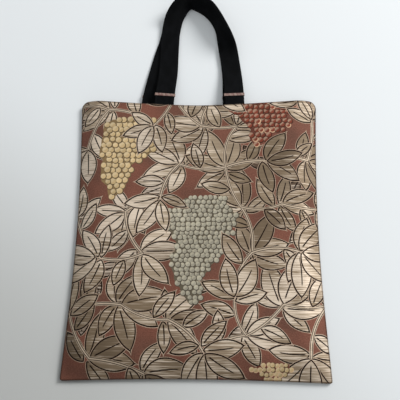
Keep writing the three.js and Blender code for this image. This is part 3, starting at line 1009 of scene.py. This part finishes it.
def grid_sheet(name, columns, rows, place, finish, thick):
    """A sheet of cloth over a grid of places, with its thickness below it."""
    last = (len(columns) - 1, len(rows) - 1)
    bpy.ops.mesh.primitive_grid_add(x_subdivisions=last[0], y_subdivisions=last[1], size=1, calc_uvs=False)
    piece = bpy.context.object
    mesh = piece.data
    piece.name = mesh.name = name
    picked = np.rint((spots_of(mesh)[:, :2] + 0.5) * last).astype(int)
    solid = np.array([place(columns[c], rows[r]) for c, r in picked])
    mesh.vertices.foreach_set("co", in_frame(solid).ravel())
    cloth_map(mesh, solid[corners_of(mesh), :2] * MM)
    mesh.materials.append(finish)
    mesh.shade_smooth()
    applied(piece, "SOLIDIFY", thickness=thick * MM, offset=-1)


# Handles

# Each row of a route: x in SPREAD, height above the rim in RISE, and the turn on edge in degrees
SHARED_ROUTE = [
    (-0.36, 0.79, 4), (-0.32, 0.875, 22), (-0.213, 0.97, 55), (-0.105, 1.012, 54), (0.02, 0.975, 56),
    (0.135, 0.91, 63), (0.222, 0.825, 67), (0.288, 0.73, 62), (0.34, 0.63, 42), (0.38, 0.535, 17),
    (0.41, 0.42, 1),
]
FRONT_ROUTE = [
    (-0.43, 0, 0), (-0.415, 0.13, 0), (-0.395, 0.3, 0), (-0.39, 0.47, 0), (-0.385, 0.6, 0),
    (-0.378, 0.7, 0), *SHARED_ROUTE, (0.435, 0.28, 0), (0.452, 0.13, 0), (0.46, 0, 0),
]
BACK_ROUTE = [
    (-0.61, 0, 0), (-0.58, 0.13, 0), (-0.53, 0.3, 0), (-0.47, 0.47, 0), (-0.415, 0.6, 0),
    (-0.383, 0.7, 0), *SHARED_ROUTE, (0.43, 0.28, 0), (0.433, 0.13, 0), (0.435, 0, 0),
]
STRAP_START = rim_height(-BACK_ROUTE[0][0] * SPREAD + STRAP_WIDTH / 2) + STRAP_CLEAR


def through(rows, share):
    """A smooth curve through rows, at a share of the way along."""
    rows = np.array(rows, float)
    place = share * (len(rows) - 1)
    k = min(int(place), len(rows) - 2)
    t = place - k
    before, after = rows[max(k - 1, 0)], rows[min(k + 2, len(rows) - 1)]
    start, end = rows[k], rows[k + 1]
    lean_in, lean_out = (end - before) / 2, (after - start) / 2
    return (
        (2 * start - 2 * end + lean_in + lean_out) * t**3
        + (-3 * start + 3 * end - 2 * lean_in - lean_out) * t**2
        + lean_in * t
        + start
    )


class Route:
    """A handle's way from its left foot to its right. Side is 1 for the upper strap and -1 for the lower."""

    def __init__(self, rows, side, foot_height):
        self.rows = rows
        self.side = side
        self.offset = side * (STRAP_THICK + STRAP_GAP) / 2
        self.pair_half = STRAP_THICK + STRAP_GAP / 2
        self.lift = foot_height - (STRAP_LIFT + self.pair_half + self.offset)

    def middle(self, share):
        """The middle of the two straps, and their turn on edge."""
        across, up, turn = through(self.rows, share)
        turn = math.radians(max(0, turn))
        height = up * RISE
        rest = STRAP_LIFT + self.pair_half * math.cos(turn) + STRAP_WIDTH / 2 * math.sin(turn)
        lifted = self.lift * (1 - smooth((height - DROP[0]) / (DROP[1] - DROP[0])))
        return Vector((across * SPREAD, STRAP_START + height, rest + lifted)), turn

    def at(self, share):
        """Centre, and directions of length, width and upper face."""
        centre, turn = self.middle(share)
        if share <= 0 or share >= 1:
            along = Vector((0, 1 if share <= 0 else -1, 0))
        else:
            ahead, behind = (self.middle(min(1, max(0, share + step)))[0] for step in (0.001, -0.001))
            along = (ahead - behind).normalized()
        face = (Vector((0, 0, 1)) - along * along.z).normalized()
        face = Matrix.Rotation(turn, 3, along) @ face
        return centre + face * self.offset, along, along.cross(face), face


def strap_stations(route):
    """Places along a whole strap, with both of its sewn-in ends, closer together beside the folds."""
    fine = np.arange(1, TAIL_FINE + 1)
    left_tail = [*np.arange(TAIL, TAIL_FINE, -TAIL_STEP), *fine[::-1]]
    right_tail = [*fine, *np.arange(TAIL_FINE + TAIL_STEP, TAIL, TAIL_STEP)]

    def sewn_in(end, tail):
        centre, *directions = route.at(end)
        return [(centre - Vector((0, back, 0)), *directions) for back in tail]

    handle = [route.at(k / STRAP_STEPS) for k in range(STRAP_STEPS + 1)]
    return sewn_in(0, left_tail) + handle + sewn_in(1, right_tail)


def strap_section():
    """The strap's cross-section, with rounded edges, from its lower right."""
    half, deep = STRAP_WIDTH / 2, STRAP_THICK / 2
    turns = np.linspace(0, math.pi, 7)
    round_edge = [(half - deep * 0.8 * (1 - math.sin(t)), -deep * math.cos(t)) for t in turns]
    across = [half * 2 * k / 8 - half for k in range(1, 8)]
    top = [(w, deep) for w in across[::-1]]
    other_edge = [(-w, -f) for w, f in round_edge]
    return round_edge + top + other_edge + [(w, -deep) for w in across]


def swept(name, stations, section, finish):
    """A closed solid that carries a section along stations."""
    vertices, plan = [], []
    reach = 0.0
    for k, (centre, along, width, face) in enumerate(stations):
        if k:
            reach += (centre - stations[k - 1][0]).length
        for w, f in section:
            vertices.append(centre + width * w + face * f)
            plan.append((w, reach))
    sides = len(section)
    faces = [
        (k + s, k + (s + 1) % sides, k + sides + (s + 1) % sides, k + sides + s)
        for k in range(0, (len(stations) - 1) * sides, sides)
        for s in range(sides)
    ]
    faces.append(tuple(range(sides))[::-1])
    faces.append(tuple(range(len(vertices) - sides, len(vertices))))
    piece = new_piece(name, in_frame(vertices), faces, finish)
    corners = [v for face in faces for v in face]
    cloth_map(piece.data, np.array(plan)[corners] * MM)
    facing_out(piece)
    return piece


def band_model(finish):
    """One band lying flat, face up: a strip as wide as the strap, with a lip down each of its edges."""
    reach = STRAP_WIDTH / 2 + BAND_GAP / 2 + BAND_CLOTH
    level = STRAP_THICK / 2 + BAND_GAP / 2
    middle = (0, 0, (level + BAND_CLOTH / 2) * MM)
    bpy.ops.mesh.primitive_cube_add(size=1, location=middle, calc_uvs=False)
    model = bpy.context.object
    model.scale = (2 * reach * MM, BAND_LENGTH * MM, BAND_CLOTH * MM)
    bpy.ops.object.transform_apply()
    bpy.ops.object.mode_set(mode="EDIT")
    lip_start = (reach - BAND_CLOTH) * MM
    for side in (-1, 1):
        bpy.ops.mesh.select_all(action="SELECT")
        bpy.ops.mesh.bisect(plane_co=(side * lip_start, 0, 0), plane_no=(1, 0, 0))
    bpy.ops.mesh.select_mode(type="FACE")
    bpy.ops.mesh.select_all(action="DESELECT")
    shape = bmesh.from_edit_mesh(model.data)
    for face in shape.faces:
        outer = abs(face.calc_center_median().x) > lip_start
        face.select_set(outer and face.normal.z < -0.9)
    bmesh.update_edit_mesh(model.data)
    lip = level + STRAP_THICK / 2
    bpy.ops.mesh.extrude_region_move(TRANSFORM_OT_translate={"value": (0, 0, -lip * MM)})
    bpy.ops.object.mode_set(mode="OBJECT")
    applied(model, "BEVEL", width=BAND_ROUND * MM, segments=2)
    x, y, z = spots_of(model.data)[corners_of(model.data)].T
    cloth_map(model.data, np.column_stack([y, x - np.sign(x) * (z - level * MM)]))
    model.data.materials.append(finish)
    return model


def band(name, route, leg, model):
    """A copy of the band on one leg of a strap, on its outer face."""
    low, high = (0.0, 0.25) if leg == "left" else (1.0, 0.75)
    for _ in range(30):
        middle = (low + high) / 2
        if route.at(middle)[0].y - STRAP_START < BAND_HEIGHT:
            low = middle
        else:
            high = middle
    centre, along, _, face = route.at(low)
    out = face * route.side
    turn = Matrix((along.cross(out), along, out)).transposed().to_4x4()
    mesh = model.data.copy()
    mesh.transform(Matrix.Translation(Vector(in_frame([centre])[0])) @ turn)
    mesh.name = name
    return placed(name, mesh)


# Making the bag


def over_straps(x, side):
    """1 beside a strap's foot, where the lining lies over it, and 0 elsewhere."""
    rows = FRONT_ROUTE if side == "front" else BACK_ROUTE
    away = min(abs(x - row[0] * SPREAD) for row in (rows[0], rows[-1])) - STRAP_WIDTH / 2 - STRAP_MARGIN
    return 1 - smooth(away / STRAP_BLEND)


def lining_place(side, across, up):
    """Where a lining lies, from its own width and height shares."""
    nominal = across * (HALF - LINING_INSET)
    top = rim_height(nominal) - LINING_DROP
    low = LINING_INSET + bottom_height(nominal)
    y = low + (top - low) * up
    half = half_width(y)
    x = across * (half - LINING_INSET)
    from_side, from_low = half - abs(x) - LINING_INSET, y - low
    open_share = ease(from_side + LINING_START, LINING_RUN) * ease(from_low + LINING_START, LINING_RUN)
    near_rim = max(0.0, 1 - (top - y) / HEM_REACH) ** 2
    sewn, middle = LINING_LEVELS[side]
    level = sewn + (middle - sewn) * open_share
    if side == "back":
        to_hem = BACK_HEM_TOP - level
    else:
        to_hem = max(0.0, front_height(x, y) - FRONT_HEM_DEPTH - level)
    return x, y, level + to_hem * near_rim * (1 - over_straps(x, side)) * open_share


def padding_place(side, across, up):
    """Where an interlining lies, from its own width and height shares."""
    nominal = across * HALF * PADDING_SHARE
    y = PADDING_INSET + (rim_height(nominal) - PADDING_DROP - PADDING_INSET) * up
    x = across * (half_width(y) - PADDING_INSET)
    return x, y, PADDING_LEVEL if side == "back" else front_height(x, y) - PADDING_DEPTH


brocade = brocade_finish()
strap_black = strap_finish()
band_cloth = band_finish()
lining_cloth = lining_finish()
felt = felt_finish()

front_pattern = leafy_pattern(7, FRONT_WHORLS, FRONT_BUNCHES)
back_pattern = leafy_pattern(19, BACK_WHORLS, BACK_BUNCHES)
woven_panel("front_cloth", front_pattern, front_height, 1, brocade)
woven_panel("back_cloth", back_pattern, lambda x, y: np.zeros_like(x), -1, brocade)

columns = np.sin(np.linspace(-math.pi / 2, math.pi / 2, LINING_COLUMNS))
rows = np.concatenate([np.linspace(*run) for run in LINING_ROWS])
for side, thick in (("front", -LINING_CLOTH), ("back", LINING_CLOTH)):
    grid_sheet(f"{side}_lining_cloth", columns, rows, partial(lining_place, side), lining_cloth, thick)

columns, rows = np.linspace(-1, 1, PADDING_STEPS), np.linspace(0, 1, PADDING_STEPS)
for side in ("front", "back"):
    grid_sheet(f"{side}_padding", columns, rows, partial(padding_place, side), felt, PADDING_CLOTH)

# The sheets: slot, flat width and length, and the solids that each stands for
for name, slot, width, length, *nodes in (
    ("front_cloth", "brocade", 306, 350, "outer_front_panel", "front_rim_hem"),
    ("back_cloth", "brocade", 306, 350,
     "outer_back_panel", "back_rim_hem", "left_side_seam", "right_side_seam", "bottom_seam"),
    ("front_lining_cloth", "lining", 292, 330, "front_lining"),
    ("back_lining_cloth", "lining", 292, 330, "back_lining"),
    ("front_padding", "interlining", 268, 296, "front_interlining"),
    ("back_padding", "interlining", 268, 296, "back_interlining"),
):
    piece = bpy.data.objects[name]
    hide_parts(*nodes)
    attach(piece, "bag")

section = strap_section()
routes = {
    "front": Route(FRONT_ROUTE, 1, FRONT_FOOT_HEIGHT),
    "back": Route(BACK_ROUTE, -1, BACK_FOOT_HEIGHT),
}
start, end = ((0, (STRAP_START + past + FOOT) * MM, 0) for past in FOLD)
for handle, route in routes.items():
    strap = swept(f"{handle}_strap", strap_stations(route), section, strap_black)
    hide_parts(f"{handle}_handle_strap", f"{handle}_handle_left_end", f"{handle}_handle_right_end")
    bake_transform(strap)

strip_model = band_model(band_cloth)
for handle, route in routes.items():
    for leg in ("left", "right"):
        strip = band(f"{handle}_{leg}_band", route, leg, strip_model)
        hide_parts(f"{handle}_handle_{leg}_band")
        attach(strip, f"{handle}_handle")
bpy.data.objects.remove(strip_model)

# The photograph's view, in metres and degrees

CAMERA_SPOT = Vector((17.8, 43.3 + FOOT, 583.9)) * MM
VIEW_LINE = Vector((-0.0240, 0.2721, -0.9620)).normalized()
YAW, ROLL = math.radians(-1.43), math.radians(0.55)
LENS, SENSOR = 45, 36
FLOOR_SIZE = 6.0
FLOOR_SPOT = (0, 0, -0.0003)
SHADE_SIZE = 0.66
SHADE_SPOT = (-0.37, -0.48, 0.3)
WINDOW_SPOT = (2.4, 1.75, 1.7)
WINDOW_SIZE = 1.5
WINDOW_POWER = 110
SKY = (0.95, 0.98, 1, 1)
SKY_STRENGTH = 0.57


def camera():
    data = bpy.data.cameras.new("camera")
    data.lens = LENS
    data.sensor_width = SENSOR
    level = Vector((math.cos(YAW), 0, math.sin(YAW)))
    upright = level.cross(VIEW_LINE).normalized()
    right = level * math.cos(ROLL) + upright * math.sin(ROLL)
    up = upright * math.cos(ROLL) - level * math.sin(ROLL)
    turn = Matrix((right, up, -VIEW_LINE)).transposed().to_4x4()
    made = placed("camera", data)
    made.matrix_world = Matrix.Translation(CAMERA_SPOT) @ turn
    bpy.context.scene.camera = made


def staged_plane(name, size, spot, material, seen=True):
    bpy.ops.mesh.primitive_plane_add(size=size, location=spot)
    made = bpy.context.object
    bpy.ops.object.transform_apply()
    made.name = made.data.name = name
    made.data.materials.append(material)
    made.visible_camera = seen


def floor_finish():
    """Pale board with painted shade, darker towards the lower left."""
    finish = Finish("floor")
    x, y, _ = finish.parts(finish.node("ShaderNodeTexCoord", out="Object"))
    lit = (x * 0.7 + y).rise(-0.36, -0.02)
    return finish.dress(finish.mix(lit, paint(206, 207, 204), paint(232, 235, 236)), 0.9)


def window():
    """One large soft light from the upper right."""
    data = bpy.data.lights.new("window", "AREA")
    data.shape = "DISK"
    data.size = WINDOW_SIZE
    data.energy = WINDOW_POWER
    made = placed("window", data)
    made.location = WINDOW_SPOT
    made.rotation_euler = (-made.location).to_track_quat("-Z", "Y").to_euler()


def room():
    """Even light from all sides."""
    world = bpy.data.worlds.new("room")
    world.use_nodes = True
    inputs = world.node_tree.nodes["Background"].inputs
    inputs["Color"].default_value = SKY
    inputs["Strength"].default_value = SKY_STRENGTH
    bpy.context.scene.world = world


camera()
staged_plane("floor", FLOOR_SIZE, FLOOR_SPOT, floor_finish())
window()
# A dull card over the floor beyond the lower left corner, out of view, keeps some light off it
staged_plane("shade", SHADE_SIZE, SHADE_SPOT, Finish("shade").dress((0.03, 0.03, 0.03), 1.0), seen=False)
room()
bpy.context.scene.view_settings.view_transform = "Standard"

bpy.context.view_layer.update()
